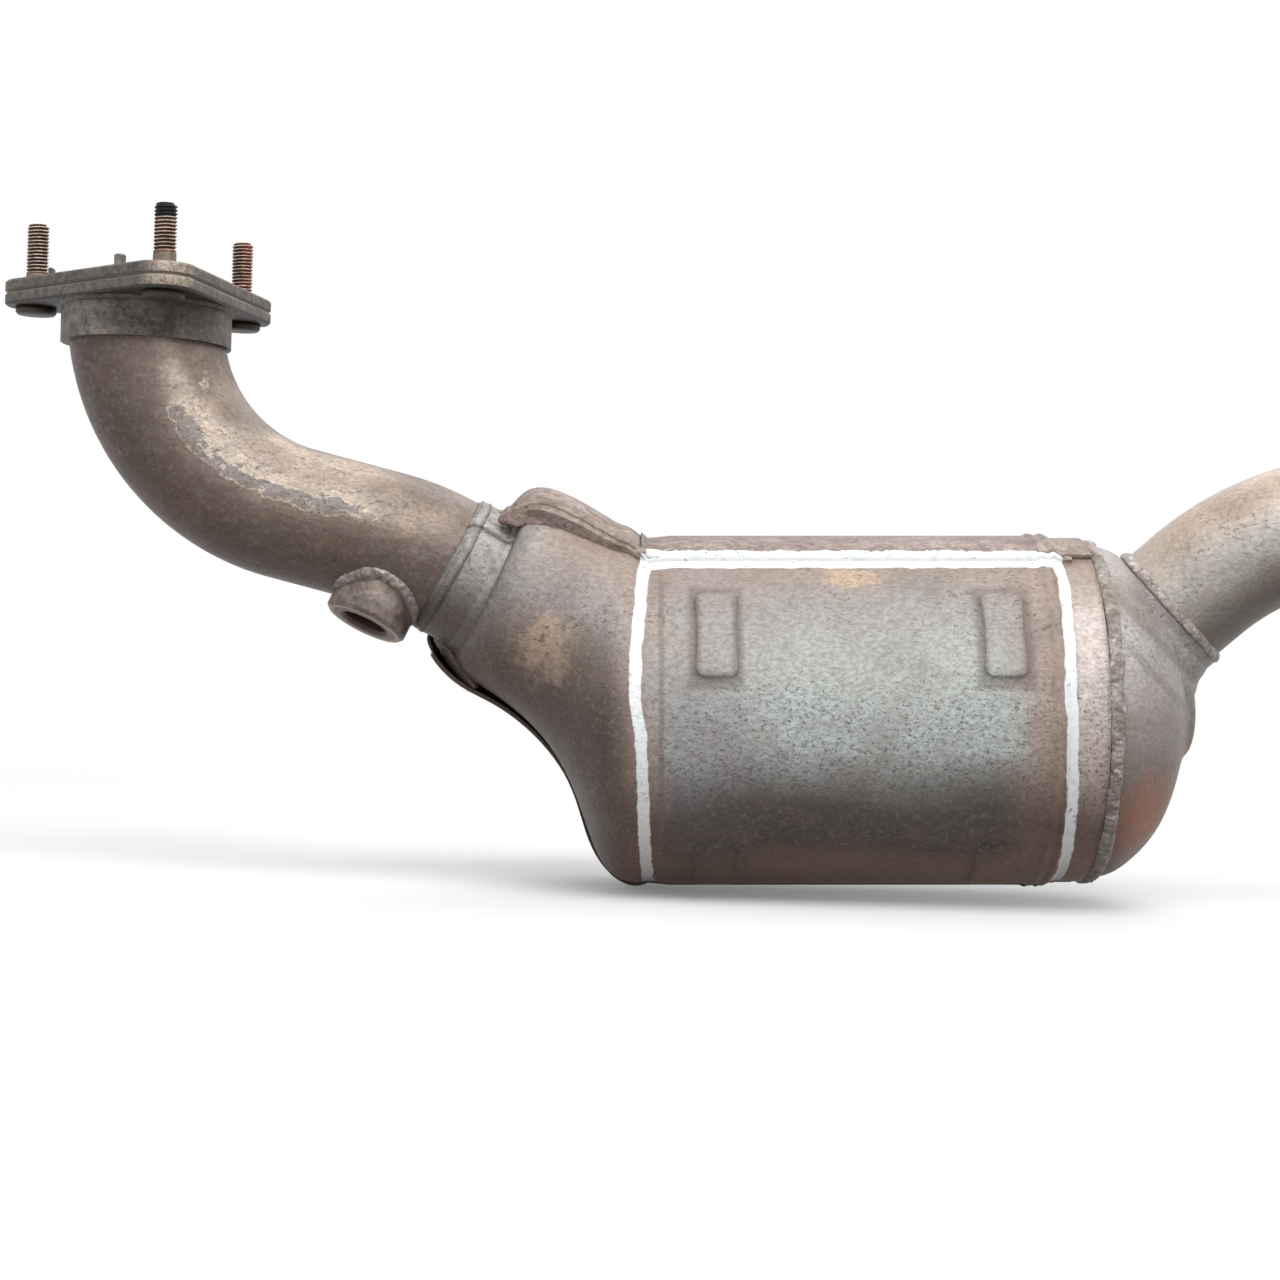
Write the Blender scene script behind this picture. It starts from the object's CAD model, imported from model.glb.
"""Catalytic converter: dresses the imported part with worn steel, weld beads, threads and paint marks.

All positions are metres in the part's own frame: the origin is the centre of the inlet flange's
gasket face, +Z runs out along the studs and +X towards the outlet. Colours written as three whole
numbers are display values from 0 to 255.
"""

import math

import bpy
from mathutils import Matrix, Quaternion, Vector, noise
from mathutils.bvhtree import BVHTree


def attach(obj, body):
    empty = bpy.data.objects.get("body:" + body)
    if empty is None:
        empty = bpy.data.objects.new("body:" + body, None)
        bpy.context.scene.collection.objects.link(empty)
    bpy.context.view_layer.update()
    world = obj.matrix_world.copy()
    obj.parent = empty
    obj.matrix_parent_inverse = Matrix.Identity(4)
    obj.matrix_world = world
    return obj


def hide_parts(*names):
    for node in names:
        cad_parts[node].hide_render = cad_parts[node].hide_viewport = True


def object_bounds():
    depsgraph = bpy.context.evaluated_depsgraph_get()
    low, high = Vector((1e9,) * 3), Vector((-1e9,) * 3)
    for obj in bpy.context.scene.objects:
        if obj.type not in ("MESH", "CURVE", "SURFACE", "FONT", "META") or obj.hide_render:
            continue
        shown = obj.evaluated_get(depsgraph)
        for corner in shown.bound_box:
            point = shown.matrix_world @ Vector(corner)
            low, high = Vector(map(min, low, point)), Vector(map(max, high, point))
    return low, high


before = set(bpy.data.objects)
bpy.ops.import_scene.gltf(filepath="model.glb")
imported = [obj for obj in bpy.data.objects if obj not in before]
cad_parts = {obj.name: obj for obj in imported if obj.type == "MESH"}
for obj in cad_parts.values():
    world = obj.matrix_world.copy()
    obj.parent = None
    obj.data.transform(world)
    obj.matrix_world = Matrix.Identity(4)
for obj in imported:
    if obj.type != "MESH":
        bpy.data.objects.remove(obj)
cad_low, cad_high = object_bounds()

bl_info = {
    "name": "Catalytic Converter",
    "version": (1, 0, 0),
    "blender": (4, 5, 0),
    "location": "3D View > Sidebar > Converter",
    "description": "Dresses a packed catalytic converter with worn steel, welds and threads",
    "category": "Object",
}

MM = 0.001
down = (0, 0, -1)

# Where the canister stands: its own axes are x along the barrel, y up in the split plane of the
# two half shells, and z out to the front. Its origin is the mouth of the inlet neck.
canister_rise = math.radians(1.8)
split_lean = math.radians(16.7)
neck_mouth = Vector((110.907, 1.782, -97.550)) * MM
neck_turn = math.radians(30)
along = Vector((math.cos(canister_rise), 0, math.sin(canister_rise)))
to_front = Quaternion(along, split_lean) @ Vector((0, -1, 0))
upward = to_front.cross(along)
neck_way = along * math.cos(neck_turn) - upward * math.sin(neck_turn)
body_drop = 56.2 * MM


def canister_point(x, y, z=0.0):
    """A point given in the canister's own axes, in metres."""
    return neck_mouth + along * x + upward * y + to_front * z


outlet_turn = math.radians(43)
outlet_way = along * math.cos(outlet_turn) + upward * math.sin(outlet_turn)
outlet_mouth = canister_point(258.2 * MM + 5 * MM * math.cos(outlet_turn),
                              -19.6 * MM + 5 * MM * math.sin(outlet_turn))
boss_mouth = Vector((85.622, -7.029, -113.394)) * MM
boss_way = Vector((-0.37559, -0.27564, -0.88485))
boss_weld_radius = 15.9 * MM
ring_weld_place, ring_weld_radius = 231.8 * MM, 61.5 * MM
neck_weld_radius, outlet_weld_radius = 25.2 * MM, 24.3 * MM
blend_reach, blend_radius = 16.6 * MM, 25.5 * MM
plate_joint = 4.5 * MM

# Pressed pads of the front shell: middle and half length in mm, middle and half turn in degrees
pads = (
    (95.2, 6.3, 46.5, 15.3), (194.1, 7.0, 46.5, 15.3),
    (95.8, 9.6, 129.0, 13.4), (196.1, 9.8, 129.0, 13.4),
)

# Hand-drawn upright lines: place on the barrel in mm, and their sway as (turn, share of 20 mm)
upright_lines = (
    (60.0, ((0, 0.62), (0.18, 0.48), (0.352, 0.375), (0.44, 0.47), (0.62, 0.53), (1, 0.70))),
    (209.7, ((0, 0.33), (0.22, 0.345), (0.36, 0.30), (0.56, 0.38), (0.80, 0.46), (1, 0.5))),
)


# Settings that a user would change

class ConverterStudSettings(bpy.types.PropertyGroup):
    circle: bpy.props.FloatProperty(
        name="Stud circle radius", description="From the flange's axis to each stud's axis",
        default=42.8 * MM, unit="LENGTH", precision=4)
    radius: bpy.props.FloatProperty(
        name="Thread radius", description="Half of the thread's outside diameter",
        default=4.0 * MM, unit="LENGTH", precision=4)
    pitch: bpy.props.FloatProperty(
        name="Thread pitch", description="Height between neighbouring thread crests",
        default=1.25 * MM, unit="LENGTH", precision=5)
    height: bpy.props.FloatProperty(
        name="Stud height", description="How far each stud stands out of the flange",
        default=21.0 * MM, unit="LENGTH", precision=4)
    front_angle: bpy.props.FloatProperty(
        name="Front stud angle", description="Where the front stud stands on the stud circle",
        default=math.radians(-70), subtype="ANGLE")


class ConverterWeldSettings(bpy.types.PropertyGroup):
    ripple: bpy.props.FloatProperty(
        name="Ripple pitch", description="Distance between the ripples of a weld bead",
        default=2.4 * MM, unit="LENGTH", precision=5)
    lumps: bpy.props.FloatProperty(
        name="Lumps", description="How uneven the beads are, as a share of their height",
        default=0.45, min=0, max=1, subtype="FACTOR")


class ConverterPaintSettings(bpy.types.PropertyGroup):
    colour: bpy.props.FloatVectorProperty(
        name="Paint colour", description="Colour of the hand-drawn paint lines",
        default=(0.94, 0.98, 1.0), size=3, min=0, max=1, subtype="COLOR")


class ConverterStageSettings(bpy.types.PropertyGroup):
    distance: bpy.props.FloatProperty(
        name="Camera distance", description="From the camera to the plane of the flange's axis",
        default=0.78, unit="LENGTH")
    key: bpy.props.FloatProperty(
        name="Key light", description="Power of the large soft lamp above the front",
        default=14.3, unit="POWER")


# Building nodes

def srgb(red, green, blue):
    """A display colour as the linear colour that a shader takes."""
    linear = []
    for value in (red, green, blue):
        share = value / 255
        linear.append(share / 12.92 if share <= 0.04045 else ((share + 0.055) / 1.055) ** 2.4)
    return (*linear, 1.0)


class Nodes:
    """A node tree. The methods after feed add nodes and return the last one's output."""

    def __init__(self, tree):
        self.tree = tree

    def add(self, kind, **settings):
        node = self.tree.nodes.new(kind)
        for name, value in settings.items():
            setattr(node, name, value)
        return node

    def feed(self, socket, value):
        """Links a value into a socket, or writes it there. Three numbers are a display colour."""
        if isinstance(value, bpy.types.NodeSocket):
            self.tree.links.new(value, socket)
        elif isinstance(value, tuple) and len(value) == 3:
            socket.default_value = srgb(*value)
        else:
            socket.default_value = value

    def number(self, operation, *values):
        node = self.add("ShaderNodeMath", operation=operation)
        for socket, value in zip(node.inputs, values):
            self.feed(socket, value)
        return node.outputs[0]

    def times(self, first, *others):
        for other in others:
            first = self.number("MULTIPLY", first, other)
        return first

    def plus(self, first, second):
        return self.number("ADD", first, second)

    def minus(self, first, second):
        return self.number("SUBTRACT", first, second)

    def away(self, value, middle):
        """How far a value is from a middle value, either way."""
        return self.number("ABSOLUTE", self.minus(value, middle))

    def band(self, value, low, high, least=0.0, most=1.0):
        """Smooth step from least at low to most at high."""
        node = self.add("ShaderNodeMapRange", interpolation_type="SMOOTHSTEP")
        for socket, part in zip(node.inputs, (value, low, high, least, most)):
            self.feed(socket, part)
        return node.outputs["Result"]


class Finish(Nodes):
    """One material and its nodes."""

    def __init__(self, name):
        self.material = bpy.data.materials.new(name)
        self.material.use_nodes = True
        super().__init__(self.material.node_tree)
        self.shader = self.tree.nodes["Principled BSDF"]
        self.place = self.add("ShaderNodeTexCoord").outputs["Object"]

    def vector(self, operation, first, second=None):
        """Vector arithmetic on an output, with a fixed second vector where it takes one."""
        node = self.add("ShaderNodeVectorMath", operation=operation)
        self.feed(node.inputs[0], first)
        if second is not None:
            node.inputs[1].default_value = second
        return node.outputs["Value" if operation in ("DOT_PRODUCT", "LENGTH") else "Vector"]

    def reach(self, direction, origin=(0, 0, 0)):
        """Distance of the surface from an origin, measured along a direction."""
        return self.vector("DOT_PRODUCT", self.vector("SUBTRACT", self.place, origin), direction)

    def beyond(self, direction, low, high):
        """0 where the surface is low and 1 where it is high, in millimetres along a direction."""
        return self.band(self.reach(direction), low * MM, high * MM)

    def facing(self, direction):
        """How far the surface's true normal points along a direction, from -1 to 1."""
        normal = self.add("ShaderNodeNewGeometry").outputs["Normal"]
        return self.vector("DOT_PRODUCT", normal, direction)

    def shifted(self, distance):
        """Places moved by a distance, so that a second noise doesn't repeat the first."""
        return self.vector("ADD", self.place, (distance, distance * 0.7, distance * 1.3))

    def noise(self, size, detail=3.0, roughness=0.5, distortion=0.0, stretch=None, place=None):
        """Noise whose blotches are about size metres across, from 0 to 1."""
        place = place or self.place
        if stretch is not None:
            mapping = self.add("ShaderNodeMapping")
            self.feed(mapping.inputs["Vector"], place)
            mapping.inputs["Scale"].default_value = stretch
            place = mapping.outputs[0]
        node = self.add("ShaderNodeTexNoise")
        for name, value in (("Vector", place), ("Scale", 1 / size), ("Detail", detail),
                            ("Roughness", roughness), ("Distortion", distortion)):
            self.feed(node.inputs[name], value)
        return node.outputs["Fac"]

    def patches(self, low, high, *noise_settings, **more):
        """Ragged patches of noise: 0 where it is at low and 1 where it is at high."""
        return self.band(self.noise(*noise_settings, **more), low, high)

    def wander(self, amount, *noise_settings):
        """A value that strays from 0 by up to half of an amount."""
        return self.times(self.minus(self.noise(*noise_settings), 0.5), amount)

    def flecks(self, size, stretch=(0.7, 1, 1)):
        """Short ragged marks, from 0 to 1."""
        return self.patches(0.60, 0.66, size, 3, 0.55, 0.6, stretch)

    def pits(self, size):
        """Distance to the nearest of many scattered points, in cells of size metres."""
        node = self.add("ShaderNodeTexVoronoi", feature="F1")
        self.feed(node.inputs["Vector"], self.place)
        node.inputs["Scale"].default_value = 1 / size
        return node.outputs["Distance"]

    def spot(self, centre, radii, soft, ragged, grain):
        """A patch round a point: 1 inside, 0 outside, with an edge roughened by noise."""
        offset = self.vector("DIVIDE", self.vector("SUBTRACT", self.place, centre), radii)
        distance = self.vector("LENGTH", offset)
        distance = self.plus(distance, self.wander(ragged, grain, 5, 0.6))
        return self.band(distance, 1.0, 1.0 - soft)

    def ramp(self, value, *stops):
        """Colours along a value from 0 to 1. Each stop is (place, red, green, blue)."""
        node = self.add("ShaderNodeValToRGB")
        self.feed(node.inputs["Fac"], value)
        points = node.color_ramp.elements
        points[0].position, points[0].color = stops[0][0], srgb(*stops[0][1:])
        points[1].position, points[1].color = stops[-1][0], srgb(*stops[-1][1:])
        for place, *colour in stops[1:-1]:
            points.new(place).color = srgb(*colour)
        return node.outputs["Color"]

    def curve(self, value, *points):
        """A smooth line through (value, height) points, all from 0 to 1."""
        node = self.add("ShaderNodeFloatCurve")
        self.feed(node.inputs["Value"], value)
        line = node.mapping.curves[0]
        line.points[0].location, line.points[1].location = points[0], points[-1]
        for place in points[1:-1]:
            line.points.new(*place)
        node.mapping.update()
        return node.outputs["Value"]

    def mix(self, share, under, over):
        node = self.add("ShaderNodeMix", data_type="RGBA")
        self.feed(node.inputs["Factor"], share)
        self.feed(node.inputs[6], under)
        self.feed(node.inputs[7], over)
        return node.outputs[2]

    def wash(self, tone, mask, strength, colour):
        """Lays a colour over a tone where a mask is 1."""
        return self.mix(self.times(mask, strength), tone, colour)

    def around_barrel(self):
        """Place along the barrel in metres, and the turn about its axis: 0 on top, 0.5 in front."""
        centre = canister_point(0, -body_drop)
        turn = self.number("ARCTAN2", self.reach(to_front, centre), self.reach(upward, centre))
        return self.reach(along, centre), self.number("DIVIDE", turn, math.pi)

    def paint_marks(self):
        """The three hand-drawn paint lines on the barrel, from 0 to 1."""
        x, turn = self.around_barrel()
        sway = self.wander(2.6 * MM, 0.009, 4, 0.6)
        mask = 0.0
        for place, bends in upright_lines:
            middle = self.number("MULTIPLY_ADD", self.curve(turn, *bends), 20 * MM, place * MM)
            across = self.plus(self.minus(x, middle), sway)
            line = self.band(self.number("ABSOLUTE", across), 2.35 * MM, 1.75 * MM)
            line = self.times(line, self.band(turn, 0.068, 0.074), self.band(turn, 0.86, 0.80))
            mask = self.number("MAXIMUM", mask, line)
        front = self.plus(self.reach(to_front, neck_mouth), sway)
        line = self.times(self.band(self.away(front, 15.4 * MM), 4.6 * MM, 3.8 * MM),
                          self.band(turn, 0.3, 0.2), self.band(x, 71 * MM, 72 * MM),
                          self.band(x, 219 * MM, 217.5 * MM))
        mask = self.number("MAXIMUM", mask, line)
        gone = self.patches(0.60, 0.68, 0.0024, 5, 0.75, 0.4)
        return self.times(mask, self.minus(1.0, gone))

    def pad_frames(self):
        """Soft rings round the four pressed pads of the front shell, from 0 to 1."""
        x, turn = self.around_barrel()
        half_circumference = 190 * MM
        ring = 0.0
        for middle, half, mid_turn, half_turn in pads:
            beside = self.minus(self.away(x, middle * MM), half * MM)
            above = self.minus(self.away(turn, mid_turn / 180), half_turn / 180)
            above = self.times(above, half_circumference)
            gap = self.away(self.number("MAXIMUM", beside, above), 1.2 * MM)
            ring = self.number("MAXIMUM", ring, self.band(gap, 3.2 * MM, 0.4 * MM))
        return ring

    def soft_corners(self, radius):
        node = self.add("ShaderNodeBevel", samples=6)
        node.inputs["Radius"].default_value = radius
        return node.outputs["Normal"]

    def bump(self, height, distance, under=None):
        node = self.add("ShaderNodeBump")
        self.feed(node.inputs["Height"], height)
        node.inputs["Distance"].default_value = distance
        node.inputs["Strength"].default_value = 1.0
        if under is not None:
            self.feed(node.inputs["Normal"], under)
        return node.outputs["Normal"]

    def finish(self, colour, roughness, normal=None, metallic=0.5, specular=0.5):
        self.feed(self.shader.inputs["Base Color"], colour)
        self.feed(self.shader.inputs["Roughness"], roughness)
        self.shader.inputs["Metallic"].default_value = metallic
        self.shader.inputs["Specular IOR Level"].default_value = specular
        if normal is not None:
            self.feed(self.shader.inputs["Normal"], normal)
        return self.material


def age_steel(steel, tone, dark, rust, blotch, rust_share, fleck_share, grime=0.35, soot=(62, 54, 48)):
    """Oxidised steel over a base tone: mottling, rust blotches of a given size, dark flecks and grime.

    Returns the new tone and the mask of the flecks.
    """
    mottle = steel.patches(0.38, 0.62, 0.0013, 6, 0.75, 0.3, (0.6, 1, 1))
    tone = steel.wash(tone, mottle, 0.44, dark)
    pale = steel.patches(0.50, 0.70, 0.0019, 5, 0.72, place=steel.shifted(0.23))
    tone = steel.wash(tone, pale, 0.30, (190, 174, 160))
    cloud = steel.patches(0.42, 0.72, blotch, 4, 0.6, 0.5)
    tone = steel.wash(tone, cloud, 0.35, dark)
    rusty = steel.patches(0.50, 0.72, blotch * 0.6, 6, 0.68, 0.6)
    tone = steel.wash(tone, rusty, rust_share, rust)
    area = steel.patches(0.36, 0.62, blotch * 1.1, 3, 0.5)
    marks = steel.times(steel.flecks(0.0014), area)
    tone = steel.wash(tone, marks, fleck_share, dark)
    below = steel.band(steel.facing(down), -0.15, 0.9)
    return steel.wash(tone, below, grime, soot), marks


def close_steel(steel, tone, marks, roughness=0.42, metallic=0.12, grain=0.256 * MM, corners=0):
    """Adds the roughness and the fine relief that every worn steel shares."""
    dull = steel.plus(roughness, steel.times(steel.noise(0.008, 5, 0.6), 0.2))
    under = steel.soft_corners(corners) if corners else None
    relief = steel.bump(steel.noise(0.0024, 6, 0.72), grain, under)
    relief = steel.bump(steel.minus(1.0, marks), 0.2 * MM, relief)
    return steel.finish(tone, dull, relief, metallic)


def give(material, *node_names):
    """Puts a material on nodes that keep their own shape."""
    for name in node_names:
        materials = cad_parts[name].data.materials
        materials.clear()
        materials.append(material)


# Building pieces

def add_piece(name, points, faces, material, slot, *replaced, depths=None):
    """A smooth-shaded mesh that rides with the part and may stand for some of its nodes."""
    mesh = bpy.data.meshes.new(name)
    mesh.from_pydata([tuple(point) for point in points], [], faces)
    mesh.shade_smooth()
    if depths is not None:
        mesh.attributes.new("depth", "FLOAT", "POINT").data.foreach_set("value", depths)
    mesh.materials.append(material)
    piece = bpy.data.objects.new(name, mesh)
    bpy.context.scene.collection.objects.link(piece)
    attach(piece, "root")
    if replaced:
        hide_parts(*replaced)


def tube_faces(rings, columns, first=0, closed=False):
    """Quads between neighbouring rings of columns points each."""
    faces = []
    for ring in range(rings if closed else rings - 1):
        start, after = first + ring * columns, first + (ring + 1) % rings * columns
        for column in range(columns):
            side = (column + 1) % columns
            faces.append((start + column, start + side, after + side, after + column))
    return faces


def weld_bead(name, spine, width, height, closed, seed, material, slot, *replaced, sunk=0.5 * MM,
              rough=1.0):
    """A bead along a spine of (point, outward direction) pairs.

    It goes into the metal by sunk, and rough is its share of the usual lumps and ripples.
    """
    settings = bpy.context.scene.converter_welds
    lumps = settings.lumps * rough
    columns = 16
    points = []
    count = len(spine)
    travelled = 0.0
    for index, (point, outward) in enumerate(spine):
        before = spine[index - 1][0] if index or closed else point
        after = spine[(index + 1) % count][0] if index < count - 1 or closed else point
        tangent = (after - before).normalized()
        outward = (outward - tangent * outward.dot(tangent)).normalized()
        side = tangent.cross(outward)
        if index:
            travelled += (point - before).length
        swell = noise.noise(point / (5 * MM) + Vector((seed, 0, 0)))
        lean = noise.noise(point / (8 * MM) + Vector((0, seed, 0)))
        fade = 1.0 if closed else min(1.0, 20 * min(index, count - 1 - index) / count)
        for column in range(columns):
            turn = math.tau * column / columns
            across, up = math.cos(turn), math.sin(turn)
            phase = (travelled + abs(across) * 0.7 * settings.ripple) / settings.ripple
            ripple = 0.12 * rough * abs(math.sin(math.pi * phase))
            grit = noise.noise((point + side * across * width) / (1.2 * MM) + Vector((0, 0, seed)))
            share = 1 - ripple + lumps * (swell * 0.7 + grit * 1.2)
            half = width / 2 * (1 + 0.4 * lumps * (swell + 0.5 * grit)) * (0.4 + 0.6 * fade)
            lift = height * share * fade if up > 0 else sunk
            stray = lean * width * 0.12 * rough
            points.append(point + side * (half * across + stray) + outward * lift * up)
    faces = tube_faces(count, columns, closed=closed)
    if not closed:
        faces.append(tuple(range(columns)))
        faces.append(tuple(reversed(range((count - 1) * columns, count * columns))))
    add_piece(name, points, faces, material, slot, *replaced)


def ring_spine(centre, axis, radius, count, outward_lean=0.0):
    """A circular spine whose outward direction leans along the axis by an angle in degrees."""
    lean = math.radians(outward_lean)
    axis = axis.normalized()
    first = axis.orthogonal().normalized()
    second = axis.cross(first)
    spine = []
    for step in range(count):
        turn = math.tau * step / count
        radial = first * math.cos(turn) + second * math.sin(turn)
        spine.append((centre + radial * radius, radial * math.cos(lean) + axis * math.sin(lean)))
    return spine


def saddle_spine(node_name, mouth, axis, radius, count):
    """A spine where a round boss of a given axis meets the surface of a node."""
    bpy.context.view_layer.update()
    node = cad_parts[node_name]
    surface = BVHTree.FromPolygons([node.matrix_world @ vertex.co for vertex in node.data.vertices],
                                   [tuple(face.vertices) for face in node.data.polygons])
    spine = []
    for point, radial in ring_spine(mouth, axis, radius, count):
        met = surface.ray_cast(point, -axis)[0]
        spine.append((met, (axis + radial).normalized()))
    return spine


def smooth_spine(places, outward, spacing=0.6 * MM):
    """A smooth spine through places given in millimetres in the canister's own axes."""
    points = [canister_point(*[value * MM for value in place]) for place in places]
    away = canister_point(*outward) - neck_mouth
    spine = []
    for index in range(len(points) - 1):
        before, start = points[max(index - 1, 0)], points[index]
        end, after = points[index + 1], points[min(index + 2, len(points) - 1)]
        steps = max(2, round((end - start).length / spacing))
        for step in range(steps):
            share = step / steps
            spot = 0.5 * (2 * start + (end - before) * share
                          + (2 * before - 5 * start + 4 * end - after) * share ** 2
                          + (3 * start - before - 3 * end + after) * share ** 3)
            spine.append((spot, away))
    return spine


class ConverterFlangeOperator(bpy.types.Operator):
    """Give the flange plates, the collar and the small pins their dark scaled steel"""

    bl_idname = "converter.finish_flange"
    bl_label = "Finish flange"

    def execute(self, context):
        plate = Finish("flange_scale")
        patchy = plate.patches(0.35, 0.65, 0.004, 5, 0.7)
        tone = plate.mix(patchy, (122, 114, 106), (72, 64, 58))
        tone = plate.wash(tone, plate.band(plate.facing(down), 0.5, 0.9), 0.8, (40, 34, 30))
        right = plate.beyond((1, 0, 0), 15, 45)
        tone = plate.wash(tone, right, 0.5, (102, 76, 60))
        # The front corner is worn bright, with brush marks down it
        worn = plate.spot((18 * MM, -48 * MM, -4.5 * MM), (11 * MM, 14 * MM, 9 * MM), 0.6, 0.8, 0.003)
        brushed = plate.patches(0.2, 0.5, 0.004, 3, 0.6, stretch=(4, 4, 0.3))
        tone = plate.wash(tone, plate.times(worn, brushed), 0.9, (214, 198, 180))
        tone, marks = age_steel(plate, tone, (62, 54, 48), (90, 68, 52), 0.012, 0.4, 0.6, 0.95,
                                (40, 34, 30))
        joint = plate.band(plate.away(plate.reach((0, 0, 1)), -plate_joint), 0.9 * MM, 0.3 * MM)
        tone = plate.wash(tone, joint, 0.35, (196, 186, 176))
        give(close_steel(plate, tone, marks, 0.36, 0.15, 0.8 * MM, 1.2 * MM),
             "flange_top_plate", "flange_bottom_plate")

        pin = Finish("pin_steel")
        tone = pin.mix(pin.patches(0.35, 0.65, 0.004), (150, 142, 134), (86, 76, 68))
        tone, marks = age_steel(pin, tone, (86, 76, 68), (96, 72, 54), 0.004, 0.5, 0.5)
        give(close_steel(pin, tone, marks), "locating_dowel", "gasket_tab")

        collar = Finish("collar_scale")
        patchy = collar.patches(0.38, 0.66, 0.005, 6, 0.72)
        tone = collar.mix(patchy, (150, 141, 133), (62, 54, 48))
        right = collar.beyond((1, 0, 0), 4, 26)
        tone = collar.wash(tone, right, 0.7, (58, 50, 45))
        edge = collar.beyond((0, 0, 1), -23.6, -24.6)
        tone = collar.wash(tone, edge, 0.6, (150, 142, 134))
        tone, marks = age_steel(collar, tone, (62, 54, 48), (90, 72, 58), 0.014, 0.4, 0.6, 0.6)
        give(close_steel(collar, tone, marks, 0.36, 0.15, 0.96 * MM), "flange_collar", "flange_weld")
        return {"FINISHED"}


class ConverterPipesOperator(bpy.types.Operator):
    """Give both pipes their heat-tinted steel"""

    bl_idname = "converter.finish_pipes"
    bl_label = "Finish pipes"

    def execute(self, context):
        pipe = Finish("inlet_heat_tint")
        x, z = pipe.reach((1, 0, 0)), pipe.reach((0, 0, 1))
        polish = pipe.plus(pipe.facing(Vector((0.36, -0.72, 0.59)).normalized()),
                           pipe.wander(0.16, 0.012, 5, 0.62))
        tone = pipe.ramp(polish, (0.0, 54, 34, 26), (0.3, 66, 48, 40), (0.62, 106, 92, 83),
                         (0.78, 140, 124, 114), (0.87, 208, 190, 174), (0.94, 216, 199, 182),
                         (0.97, 196, 180, 166), (1.0, 176, 160, 148))
        inner = pipe.band(pipe.facing((1, 0, 0)), 0.40, 0.62)
        tone = pipe.wash(tone, inner, 0.85, (96, 83, 75))
        tone = pipe.wash(tone, pipe.band(x, 72 * MM, 102 * MM), 0.8, (106, 94, 87))
        streak = pipe.patches(0.5, 0.68, 0.010, 4, 0.6, 0.3, (1, 3, 3))
        tone = pipe.wash(tone, streak, 0.35, (152, 142, 140))
        gold = pipe.times(pipe.patches(0.48, 0.66, 0.022), pipe.band(polish, 0.55, 0.95))
        tone = pipe.wash(tone, gold, 0.4, (210, 186, 160))

        # Peeled grey skin along the lower left side of the polished strip, with pale torn edges
        fall = pipe.minus(x, z)
        near = pipe.times(pipe.band(pipe.away(polish, 0.845), 0.10, 0.03),
                          pipe.band(pipe.facing((0.7, 0, 0.714)), 0.80, 0.66),
                          pipe.band(fall, 52 * MM, 66 * MM), pipe.band(fall, 186 * MM, 150 * MM))
        flake = pipe.noise(0.0046, 6, 0.72, 0.8, (0.5, 1, 0.7))
        core = pipe.number("MULTIPLY_ADD", near, 0.37, flake)
        tone = pipe.wash(tone, pipe.band(core, 0.68, 0.75), 0.7, (240, 226, 208))
        tone = pipe.wash(tone, pipe.band(core, 0.77, 0.80), 0.95, (146, 138, 136))

        patchy = pipe.patches(0.42, 0.60, 0.005, 6, 0.74, 0.6, (0.5, 1, 0.7))
        patchy = pipe.times(patchy, pipe.band(polish, 0.98, 0.70))
        tone = pipe.wash(tone, patchy, 0.35, (74, 58, 50))
        scratch = pipe.patches(0.56, 0.64, 0.0019, 5, 0.75, 0.3, (0.3, 1, 0.8))
        scratch = pipe.times(scratch, pipe.band(polish, 0.55, 0.9))
        tone = pipe.wash(tone, scratch, 0.7, (110, 92, 80))
        seam = pipe.away(pipe.plus(z, pipe.times(x, 0.31)), -66.1 * MM)
        seam = pipe.times(pipe.band(seam, 0.5 * MM, 0.15 * MM), pipe.band(x, 40 * MM, 60 * MM),
                          pipe.beyond((0, -1, 0), 14, 16))
        tone = pipe.wash(tone, seam, 0.7, (84, 70, 60))
        tone, marks = age_steel(pipe, tone, (92, 78, 68), (150, 116, 90), 0.03, 0.25, 0.35, 0.5,
                                (78, 54, 44))
        give(close_steel(pipe, tone, marks, 0.34, 0.15, 0.352 * MM), "inlet_pipe")

        tail = Finish("outlet_heat_tint")
        polish = tail.facing(Vector((-0.3, -0.6, 0.74)).normalized())
        tone = tail.ramp(polish, (0.0, 118, 108, 100), (0.5, 186, 182, 176), (0.8, 198, 193, 187),
                         (0.95, 200, 184, 170))
        brown = tail.band(tail.facing((0, 0, 1)), 0.3, 0.8)
        tone = tail.wash(tone, brown, 0.5, (186, 160, 138))
        tone, marks = age_steel(tail, tone, (112, 102, 94), (158, 128, 104), 0.025, 0.35, 0.35, 0.45)
        give(close_steel(tail, tone, marks, 0.36, 0.15, 0.192 * MM), "outlet_pipe")
        return {"FINISHED"}


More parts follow.
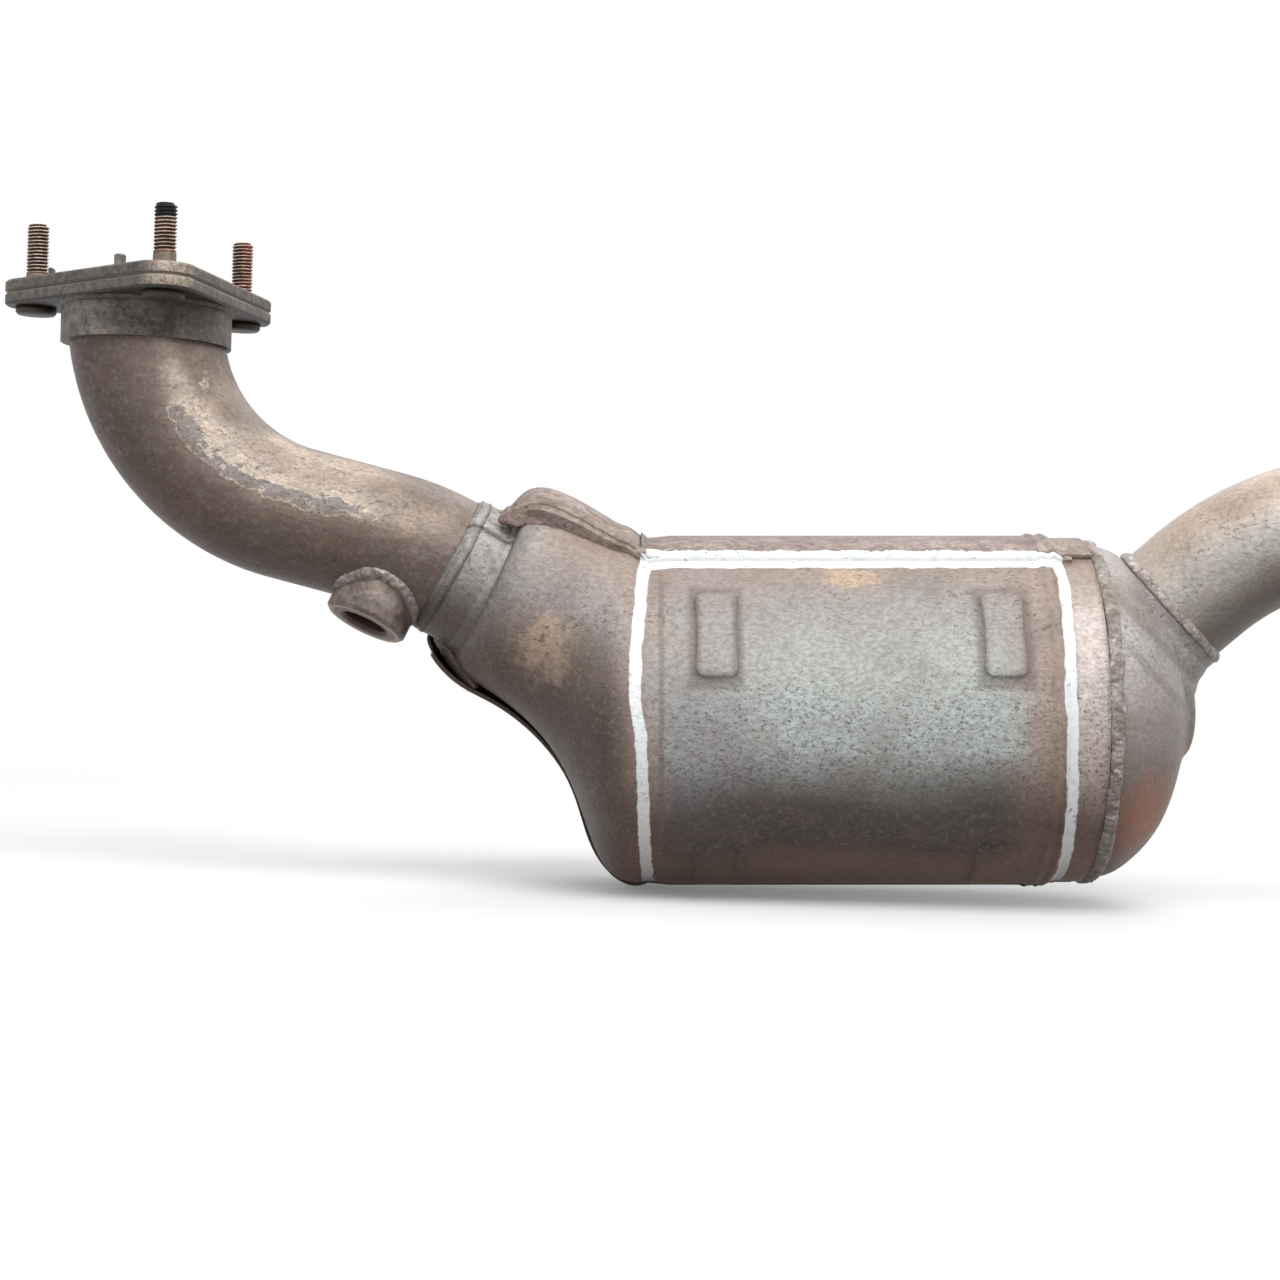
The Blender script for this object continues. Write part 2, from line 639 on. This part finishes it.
def front_shell_finish(paint):
    """Pitted steel: a bright grey-green barrel with browner ends, a tinted cone and a scaly neck."""
    steel = Finish("front_shell_finish")
    x, turn = steel.around_barrel()
    wobble = steel.wander(0.12, 0.03, 3)
    turned = steel.plus(turn, wobble)
    tone = steel.ramp(turned, (0.0, 150, 132, 119), (0.10, 166, 148, 134), (0.20, 164, 160, 156),
                      (0.32, 188, 193, 188), (0.45, 202, 212, 212), (0.52, 148, 154, 154),
                      (0.58, 66, 65, 63), (0.66, 24, 20, 18), (0.73, 150, 106, 80), (1.0, 128, 76, 52))
    blue = steel.band(steel.plus(x, steel.times(wobble, 0.2)), 124 * MM, 84 * MM)
    bluish = steel.ramp(turned, (0.0, 150, 134, 126), (0.3, 172, 166, 164), (0.47, 192, 194, 206),
                        (0.59, 80, 77, 84), (0.70, 58, 46, 44), (1.0, 104, 66, 50))
    tone = steel.wash(tone, blue, 0.6, bluish)
    brown = steel.ramp(turned, (0.0, 152, 130, 116), (0.2, 172, 154, 142), (0.38, 180, 160, 150),
                       (0.5, 174, 152, 140), (0.62, 98, 74, 60), (0.72, 146, 98, 72),
                       (1.0, 120, 74, 54))
    ragged_x = steel.plus(x, steel.times(wobble, 0.12))
    ends = steel.number("MAXIMUM", steel.band(ragged_x, 82 * MM, 66 * MM),
                        steel.band(ragged_x, 190 * MM, 208 * MM))
    tone = steel.mix(ends, tone, brown)
    strip = steel.times(steel.band(x, 217 * MM, 219 * MM), steel.band(turn, 0.62, 0.40),
                        steel.band(turn, 0.08, 0.30))
    tone = steel.wash(tone, strip, 0.9, (240, 228, 222))

    # Inlet cone: pale on top, purple grey in the middle, dark brown below
    cone_end = steel.band(x, 74 * MM, 56 * MM)
    cone_middle = (0.15, 0, -0.13)
    high = steel.number("MULTIPLY_ADD", steel.reach((0, 0, 1), cone_middle), 9.0, 0.5)
    high = steel.plus(steel.plus(high, wobble), steel.times(steel.reach((1, 0, 0), cone_middle), 3.0))
    cone = steel.ramp(high, (0.0, 48, 24, 15), (0.28, 52, 31, 23), (0.42, 70, 54, 46),
                      (0.55, 122, 108, 102), (0.68, 168, 160, 158), (0.90, 168, 150, 136))
    tone = steel.mix(cone_end, tone, cone)
    gold = steel.spot((147 * MM, -33 * MM, -126 * MM), (14 * MM, 26 * MM, 18 * MM), 0.6, 1.7, 0.006)
    tone = steel.wash(tone, gold, 0.75, (204, 178, 156))
    nicks = steel.times(steel.flecks(0.0030, (0.6, 1, 1)), steel.band(gold, 0.0, 0.3))
    tone = steel.wash(tone, nicks, 0.8, (104, 82, 68))
    top_patch = steel.spot(canister_point(143 * MM, 2 * MM, 26 * MM), (12 * MM, 8 * MM, 5 * MM),
                           0.3, 1.6, 0.004)
    tone = steel.wash(tone, top_patch, 0.8, (206, 178, 150))

    # Neck: grey and scaly, with a soft groove where it starts to swell
    neck_reach = steel.plus(steel.reach(neck_way, neck_mouth), steel.times(wobble, 0.03))
    collar = steel.band(neck_reach, 34 * MM, 10 * MM)
    lit = steel.number("MULTIPLY_ADD", steel.facing((0.2, -0.6, 0.77)), 0.5, 0.5)
    neck = steel.ramp(lit, (0.3, 72, 62, 56), (0.55, 98, 93, 89), (0.76, 160, 159, 156),
                      (1.0, 210, 208, 204))
    tone = steel.wash(tone, collar, 0.9, neck)
    scale = steel.patches(0.42, 0.62, 0.0042, 6, 0.75, 0.9)
    tone = steel.wash(tone, steel.times(scale, collar), 0.5, (104, 98, 93))
    groove = steel.times(steel.band(steel.away(neck_reach, 18.2 * MM), 4.5 * MM, 0.5 * MM), cone_end)
    tone = steel.wash(tone, groove, 0.45, (128, 120, 116))
    tone = steel.wash(tone, steel.pad_frames(), 0.5, (100, 82, 70))
    ridge = steel.times(steel.band(steel.away(x, 76.5 * MM), 1.6 * MM, 0.3 * MM),
                        steel.band(turn, 0.1, 0.16))
    tone = steel.wash(tone, ridge, 0.5, (110, 94, 84))

    # Fine dark speckle, denser down the barrel
    dense = steel.times(steel.band(turned, 0.22, 0.62), steel.band(x, 66 * MM, 92 * MM))
    grains = steel.number("MULTIPLY_ADD", dense, 0.06, steel.noise(0.00095, 3, 0.6, 0.4, (0.75, 1, 1)))
    grains = steel.times(steel.band(grains, 0.60, 0.65), steel.band(dense, 0.0, 0.3))
    tone = steel.wash(tone, grains, 0.7, (88, 82, 76))
    tone, marks = age_steel(steel, tone, (96, 86, 80), (150, 124, 106), 0.035, 0.25, 0.5, 0.25,
                            (86, 58, 44))

    # Wavy crevice where the rim of the other half shell laps over the cone
    edge = steel.plus(steel.reach(to_front, neck_mouth), steel.wander(3 * MM, 0.012, 4, 0.6))
    crevice = steel.times(steel.band(steel.away(edge, 15.2 * MM), 1.5 * MM, 0.4 * MM),
                          steel.band(x, 74 * MM, 64 * MM), steel.band(turn, 0.4, 0.3))
    tone = steel.wash(tone, crevice, 0.7, (58, 42, 34))
    tone = steel.mix(steel.paint_marks(), tone, paint)
    return close_steel(steel, tone, marks, 0.40, 0.12, 0.512 * MM, 4 * MM)


class ConverterCanisterOperator(bpy.types.Operator):
    """Give the half shells and the outlet cone their pitted steel"""

    bl_idname = "converter.finish_canister"
    bl_label = "Finish canister"

    def execute(self, context):
        give(front_shell_finish((*context.scene.converter_paint.colour, 1)), "front_shell")

        rear = Finish("rear_shell_finish")
        crusty = rear.patches(0.36, 0.66, 0.0055, 6, 0.74, 0.8, (0.8, 1, 1))
        tone = rear.mix(crusty, (190, 174, 164), (126, 106, 94))
        outside = rear.band(rear.reach(to_front, neck_mouth), 1 * MM, -4 * MM)
        tone = rear.wash(tone, outside, 0.4, (120, 108, 100))
        low = rear.beyond((0, 0, 1), -105, -135)
        tone = rear.wash(tone, low, 0.85, (84, 62, 48))
        tone, marks = age_steel(rear, tone, (96, 80, 70), (120, 88, 66), 0.02, 0.35, 0.5)
        give(close_steel(rear, tone, marks, 0.42, 0.12, 1.12 * MM, 2.5 * MM), "rear_shell")

        cone = Finish("outlet_cone_finish")
        turn = cone.number("ABSOLUTE", cone.around_barrel()[1])
        tone = cone.ramp(turn, (0.0, 170, 163, 160), (0.22, 198, 195, 193), (0.36, 180, 174, 171),
                         (0.50, 140, 130, 125), (0.68, 124, 100, 88), (1.0, 98, 70, 56))
        behind = cone.reach(outlet_way, outlet_mouth)
        fold = cone.times(cone.number("SINE", cone.times(behind, math.tau / 8.5 / MM)),
                          cone.band(behind, -34 * MM, -16 * MM), cone.band(behind, -1 * MM, -5 * MM))
        tone = cone.wash(tone, cone.band(fold, -0.2, -0.9), 0.35, (104, 92, 86))
        tint = cone.patches(0.45, 0.65, 0.03)
        tone = cone.wash(tone, tint, 0.35, (144, 118, 108))
        ember = cone.spot((360 * MM, -24 * MM, -181 * MM), (22 * MM, 42 * MM, 27 * MM), 0.9, 0.7, 0.006)
        tone = cone.wash(tone, ember, 0.75, (206, 116, 66))
        tone, marks = age_steel(cone, tone, (104, 94, 88), (150, 122, 104), 0.03, 0.3, 0.5)
        give(close_steel(cone, tone, marks, 0.38, 0.12, 0.48 * MM, 3 * MM), "outlet_cone")
        return {"FINISHED"}


class ConverterInsideOperator(bpy.types.Operator):
    """Give the brick, its mat and the wire rings their finishes"""

    bl_idname = "converter.finish_inside"
    bl_label = "Finish inner parts"

    def execute(self, context):
        brick = Finish("brick_ceramic")
        tone = brick.mix(brick.noise(0.02), (206, 188, 156), (168, 148, 120))
        give(brick.finish(tone, 0.9, brick.bump(brick.noise(0.001), 0.1 * MM), 0.0), "monolith")
        mat = Finish("mat_fibre")
        fibres = mat.noise(0.0012, 4, 0.7, stretch=(1, 3, 1))
        tone = mat.mix(fibres, (226, 220, 204), (180, 170, 150))
        give(mat.finish(tone, 0.95, mat.bump(fibres, 0.4 * MM), 0.0), "support_mat")
        wire = Finish("seal_wire")
        knit = wire.pits(0.0016)
        tone = wire.mix(knit, (190, 186, 180), (80, 76, 72))
        give(wire.finish(tone, 0.4, wire.bump(knit, 0.5 * MM), 0.9),
             "inlet_mesh_seal", "outlet_mesh_seal")
        return {"FINISHED"}


def weld_material():
    """Grey, rough weld metal, made once and shared by the beads."""
    name = "weld_bead_finish"
    if name in bpy.data.materials:
        return bpy.data.materials[name]
    metal = Finish(name)
    rough = metal.patches(0.36, 0.64, 0.0040, 6, 0.70, 0.5)
    tone = metal.mix(rough, (196, 189, 184), (138, 127, 120))
    shine = metal.patches(0.56, 0.62, 0.0026, 5, 0.7, place=metal.shifted(0.17))
    tone = metal.wash(tone, shine, 0.75, (234, 228, 220))
    tone, marks = age_steel(metal, tone, (104, 90, 80), (138, 112, 96), 0.012, 0.4, 0.5, 0.4)
    return close_steel(metal, tone, marks, 0.28, 0.25, 0.96 * MM)


def crust_material(paint):
    """Brown scale along the seam, with the paint that runs over it."""
    crust = Finish("seam_crust_finish")
    rough = crust.patches(0.36, 0.66, 0.005, 6, 0.74, 0.8, (0.8, 1, 1))
    tone = crust.mix(rough, (188, 170, 160), (116, 98, 86))
    low = crust.beyond((0, 0, 1), -110, -150)
    tone = crust.wash(tone, low, 0.7, (84, 62, 48))
    tone, marks = age_steel(crust, tone, (84, 68, 58), (112, 82, 62), 0.014, 0.35, 0.5)
    tone = crust.mix(crust.paint_marks(), tone, paint)
    return close_steel(crust, tone, marks, 0.42, 0.12, 1.28 * MM)


def rust_material():
    """Dark rust with pale worn crests, a black tip on the front stud and plain grey feet."""
    rust = Finish("stud_rust")
    depth = rust.add("ShaderNodeAttribute", attribute_name="depth").outputs["Fac"]
    depth = rust.plus(depth, rust.wander(0.7, 0.0022, 4, 0.7))
    tone = rust.ramp(depth, (0.0, 228, 214, 200), (0.16, 176, 142, 122), (0.36, 98, 60, 46),
                     (0.7, 34, 20, 18))
    patch = rust.patches(0.50, 0.66, 0.006, 3, 0.6)
    tone = rust.wash(tone, patch, 0.55, (74, 54, 46))
    ember = rust.times(rust.beyond((1, 0, 0), 25, 32),
                       rust.patches(0.35, 0.6, 0.0035, 3, 0.6))
    tone = rust.wash(tone, ember, 0.5, (176, 96, 58))
    height = rust.reach((0, 0, 1))
    plain = rust.times(rust.band(height, 4.0 * MM, 3.4 * MM),
                       rust.beyond((0, 1, 0), 20, 10))
    tone = rust.wash(tone, plain, 0.8, (128, 116, 106))
    tip = rust.spot((14.64 * MM, -40.2 * MM, 20.6 * MM), (9 * MM, 9 * MM, 5.2 * MM), 0.12, 0.3, 0.003)
    tone = rust.mix(tip, tone, (12, 11, 11))
    tone = rust.mix(rust.band(height, -3 * MM, -8 * MM), tone, (60, 52, 47))
    return rust.finish(tone, 0.5, rust.bump(rust.noise(0.0009, 4, 0.7), 0.2 * MM), 0.3)


class ConverterStudsOperator(bpy.types.Operator):
    """Add the three rusty threaded studs with their heads"""

    bl_idname = "converter.add_studs"
    bl_label = "Add studs"

    def execute(self, context):
        studs = context.scene.converter_studs
        columns = 40
        step = studs.pitch / 7
        wear_depth = 0.06 * MM
        plain_heights = (3.9 * MM, -0.5 * MM, 2.4 * MM)
        head_low, head_high, head_radius = -11.8 * MM, -9.0 * MM, 7.2 * MM
        shank, foot_height = 4.3 * MM, 0.2 * MM
        edge = 0.8 * MM
        groove_depth = 0.62 * studs.pitch
        points, faces, depths = [], [], []
        for stud, plain_to in enumerate(plain_heights):
            angle = studs.front_angle + stud * math.tau / 3
            foot = Vector((math.cos(angle), math.sin(angle), 0)) * studs.circle
            rows = [(head_low, 0.0), (head_low, head_radius - edge), (head_low + edge, head_radius),
                    (head_high, head_radius), (head_high, shank), (foot_height, shank)]
            count = int((studs.height - foot_height) / step)
            rows += [(foot_height + (studs.height - foot_height) * row / count, None)
                     for row in range(count + 1)]
            rows.append((studs.height, 0.0))
            first = len(points)
            for height, fixed in rows:
                for column in range(columns):
                    turn = math.tau * column / columns
                    if fixed is None:
                        cycle = (height / studs.pitch - turn / math.tau) % 1.0
                        groove = max(0.0, 1 - abs(2 * cycle - 1) * 1.12)
                        start = min(1.0, max(0.0, (height - plain_to) / studs.pitch))
                        wear = noise.noise((foot + Vector((turn * 2 * MM, 0, height))) / (1.1 * MM))
                        radius = studs.radius - groove_depth * groove * start - wear_depth * (1 + wear)
                        radius -= max(0.0, edge - (studs.height - height))
                        depths.append(0.35 + (groove - 0.35) * start)
                    else:
                        radius = fixed
                        depths.append(0.6)
                    spot = Vector((math.cos(turn), math.sin(turn), 0)) * radius
                    points.append(foot + spot + Vector((0, 0, height)))
            faces += tube_faces(len(rows), columns, first)
        add_piece("studs_threaded", points, faces, rust_material(), "stud_steel", "flange_studs",
                  depths=depths)
        return {"FINISHED"}


class ConverterWeldsOperator(bpy.types.Operator):
    """Add the beads round the necks and the canister, and the crust along its seam"""

    bl_idname = "converter.add_welds"
    bl_label = "Add weld beads"

    def execute(self, context):
        metal = weld_material()
        crust = crust_material((*context.scene.converter_paint.colour, 1))
        shell = bpy.data.materials["front_shell_finish"]
        weld_bead("bead_body_ring", ring_spine(canister_point(ring_weld_place, -body_drop), along,
                                               ring_weld_radius, 640),
                  5.0 * MM, 1.5 * MM, True, 11.0, metal, "weld_metal", "body_ring_weld")
        weld_bead("bead_inlet_neck", ring_spine(neck_mouth + neck_way * 1.0 * MM, neck_way,
                                                neck_weld_radius, 300, -22),
                  5.4 * MM, 0.45 * MM, True, 17.0, shell, "weld_metal", "inlet_neck_weld", rough=0.5)
        weld_bead("neck_blend", ring_spine(neck_mouth + neck_way * blend_reach, neck_way,
                                           blend_radius, 240, -12),
                  9.0 * MM, 1.6 * MM, True, 19.0, shell, "front_shell_steel", sunk=1.5 * MM, rough=0.3)
        weld_bead("bead_outlet_neck", ring_spine(outlet_mouth + outlet_way * 0.2 * MM, outlet_way,
                                                 outlet_weld_radius, 300, 35),
                  4.2 * MM, 1.2 * MM, True, 23.0, metal, "weld_metal", "outlet_neck_weld", rough=0.5)
        give(crust, "seam_weld_top", "seam_weld_bottom")

        # Along the crevice of the upper lap, then over both starts of the rim at the neck
        upper = [(34.1, 23.1, 12.8), (41.1, 20.2, 12.8), (48, 16.7, 12.7), (55.1, 13.0, 12.6),
                 (62, 9.9, 12.5), (69.2, 7.5, 12.4)]
        upper += [(place, 6.5, 12.4) for place in range(77, 219, 7)]
        over_lap = [(20.5, 21.2, 9.5), (22.5, 20.8, 11.2), (25.5, 20.6, 12.6), (30, 21.2, 13.2),
                    (37, 21.2, 13.2)]
        under_neck = [(-5, -25.5, 3), (-2.5, -29.5, 6), (0.6, -34.2, 7.5), (4.5, -39.5, 8.5),
                      (9, -45.5, 9.5)]
        for name, places, outward, width, height, seed, sunk in (
            ("bead_seam_top", upper, (0.12, 0.97, 0.25), 4.6, 1.3, 31.0, 1.4),
            ("crust_neck_top", over_lap, (-0.1, 0.6, 0.8), 8.0, 1.3, 37.0, 4.0),
            ("crust_neck_low", under_neck, (-0.6, -0.5, 0.62), 7.0, 1.2, 41.0, 3.0),
        ):
            weld_bead(name, smooth_spine(places, outward), width * MM, height * MM, False, seed, crust,
                      "weld_metal", sunk=sunk * MM)
        return {"FINISHED"}


class ConverterBossOperator(bpy.types.Operator):
    """Give the sensor boss its turned steel and its weld bead"""

    bl_idname = "converter.finish_boss"
    bl_label = "Finish sensor boss"

    def execute(self, context):
        boss = Finish("boss_steel")
        patchy = boss.patches(0.35, 0.65, 0.006, 4, 0.6)
        tone = boss.mix(patchy, (150, 138, 128), (94, 82, 74))
        tone, marks = age_steel(boss, tone, (86, 74, 66), (120, 90, 66), 0.012, 0.4, 0.5, 0.2)
        offset = boss.vector("SUBTRACT", boss.place, boss_mouth)
        radius = boss.vector("LENGTH", boss.vector("CROSS_PRODUCT", offset, boss_way))
        tone = boss.wash(tone, boss.band(boss.facing(boss_way), 0.85, 0.97), 0.7, (186, 160, 136))
        tone = boss.wash(tone, boss.band(radius, 12.6 * MM, 11.6 * MM), 0.9, (70, 42, 28))
        tone = boss.mix(boss.band(radius, 9.2 * MM, 8.6 * MM), tone, (60, 36, 24))
        give(close_steel(boss, tone, marks, 0.33, 0.15, 0.48 * MM, 1.2 * MM), "sensor_boss")
        spine = saddle_spine("inlet_pipe", boss_mouth, boss_way.normalized(), boss_weld_radius, 200)
        weld_bead("bead_sensor_boss", spine, 5.0 * MM, 1.3 * MM, True, 29.0, weld_material(),
                  "weld_metal", "sensor_boss_weld", sunk=1.5 * MM)
        return {"FINISHED"}


class ConverterStageOperator(bpy.types.Operator):
    """Add the pale floor, the soft studio light and the camera"""

    bl_idname = "converter.add_stage"
    bl_label = "Add stage"

    def execute(self, context):
        scene = context.scene
        stage = scene.converter_stage
        scene.view_settings.view_transform = "Standard"

        # World: white where it is seen or mirrored, a soft sky over a dim ground otherwise
        world = bpy.data.worlds.new("studio")
        scene.world = world
        world.use_nodes = True
        sky = Nodes(world.node_tree)
        split = sky.add("ShaderNodeSeparateXYZ")
        sky.feed(split.inputs[0], sky.add("ShaderNodeTexCoord").outputs["Generated"])
        daylight = sky.band(split.outputs["Z"], -0.7, 0.7, 0.10, 0.68)
        path = sky.add("ShaderNodeLightPath").outputs
        seen = sky.number("MAXIMUM", path["Is Glossy Ray"], path["Is Transmission Ray"])
        seen = sky.number("MAXIMUM", path["Is Camera Ray"], seen)
        strength = sky.add("ShaderNodeMix")
        sky.feed(strength.inputs["Factor"], seen)
        sky.feed(strength.inputs[2], daylight)
        strength.inputs[3].default_value = 1.0
        background = sky.tree.nodes["Background"]
        sky.feed(background.inputs["Strength"], strength.outputs[0])
        background.inputs["Color"].default_value = (1, 1, 1, 1)

        # Floor just under the canister: paper that glows white away from it, where it is seen
        half = 6.0
        height = cad_low.z - 0.5 * MM
        mesh = bpy.data.meshes.new("floor")
        mesh.from_pydata([(-half, -half, height), (half, -half, height), (half, half, height),
                          (-half, half, height)], [], [(0, 1, 2, 3)])
        floor = bpy.data.objects.new("floor", mesh)
        scene.collection.objects.link(floor)
        paper = Finish("floor_paper")
        paper.finish(paper.mix(paper.noise(0.5, 2), (0.86, 0.86, 0.86, 1), (0.88, 0.88, 0.88, 1)), 0.9,
                     None, 0.0, 0.1)
        path = paper.add("ShaderNodeLightPath").outputs
        seen = paper.number("MAXIMUM", path["Is Camera Ray"], path["Is Glossy Ray"])
        far = paper.band(paper.vector("LENGTH", paper.place), 0.25, 0.75)
        far = paper.number("MULTIPLY_ADD", far, 0.85, 0.15)
        dim = paper.add("ShaderNodeBsdfDiffuse")
        dim.inputs["Color"].default_value = (0.22, 0.20, 0.19, 1)
        surface = paper.shader.outputs[0]
        for share, shader in ((paper.times(seen, far), paper.add("ShaderNodeEmission")),
                              (path["Is Diffuse Ray"], dim)):
            blend = paper.add("ShaderNodeMixShader")
            for socket, value in zip(blend.inputs, (share, surface, shader.outputs[0])):
                paper.feed(socket, value)
            surface = blend.outputs[0]
        paper.feed(paper.tree.nodes["Material Output"].inputs["Surface"], surface)
        mesh.materials.append(paper.material)

        # Soft lamps, all turned to the middle of the part
        middle = Vector((0.18, 0, -0.1))
        for name, spot, size, power in (
            ("key", (0.40, -0.75, 0.90), 0.9, stage.key),
            ("fill", (-0.9, -0.7, 0.1), 0.9, stage.key * 0.10),
            ("back", (0.6, 0.8, 0.9), 0.8, stage.key * 0.35),
        ):
            lamp = bpy.data.lights.new(name, "AREA")
            lamp.size = size
            lamp.energy = power
            holder = bpy.data.objects.new(name, lamp)
            holder.location = spot
            aim = middle - Vector(spot)
            holder.rotation_mode = "QUATERNION"
            holder.rotation_quaternion = aim.to_track_quat("-Z", "Y")
            scene.collection.objects.link(holder)

        # Camera level with the pipes, rolled a little, as the photograph was taken
        camera = bpy.data.cameras.new("camera")
        width_at_one_metre = 0.5908
        camera.lens = camera.sensor_width / width_at_one_metre
        holder = bpy.data.objects.new("camera", camera)
        roll = math.radians(1.8)
        right = Vector((math.cos(roll), 0, math.sin(roll)))
        up = Vector((-math.sin(roll), 0, math.cos(roll)))
        turn = Matrix((right, up, Vector((0, -1, 0)))).transposed().to_4x4()
        holder.matrix_world = Matrix.Translation((0.18095, -stage.distance, -0.12288)) @ turn
        scene.collection.objects.link(holder)
        scene.camera = holder
        return {"FINISHED"}


class ConverterPanel(bpy.types.Panel):
    """Lists the converter's settings and pieces"""

    bl_idname = "VIEW3D_PT_converter"
    bl_label = "Catalytic converter"
    bl_space_type = "VIEW_3D"
    bl_region_type = "UI"
    bl_category = "Converter"

    def draw(self, context):
        for name in setting_groups:
            group = getattr(context.scene, name)
            box = self.layout.box()
            for setting in group.__annotations__:
                box.prop(group, setting)
        for operator in pieces_in_order:
            self.layout.operator(operator.bl_idname)


pieces_in_order = (
    ConverterFlangeOperator,
    ConverterPipesOperator,
    ConverterCanisterOperator,
    ConverterInsideOperator,
    ConverterBossOperator,
    ConverterStudsOperator,
    ConverterWeldsOperator,
    ConverterStageOperator,
)
setting_groups = {
    "converter_studs": ConverterStudSettings,
    "converter_welds": ConverterWeldSettings,
    "converter_paint": ConverterPaintSettings,
    "converter_stage": ConverterStageSettings,
}


def register():
    for name, group in setting_groups.items():
        bpy.utils.register_class(group)
        setattr(bpy.types.Scene, name, bpy.props.PointerProperty(type=group))
    for operator in pieces_in_order:
        bpy.utils.register_class(operator)
    bpy.utils.register_class(ConverterPanel)


def unregister():
    bpy.utils.unregister_class(ConverterPanel)
    for operator in reversed(pieces_in_order):
        bpy.utils.unregister_class(operator)
    for name, group in setting_groups.items():
        delattr(bpy.types.Scene, name)
        bpy.utils.unregister_class(group)


def main():
    register()
    for operator in pieces_in_order:
        group, name = operator.bl_idname.split(".")
        getattr(getattr(bpy.ops, group), name)()


if __name__ == "__main__":
    main()
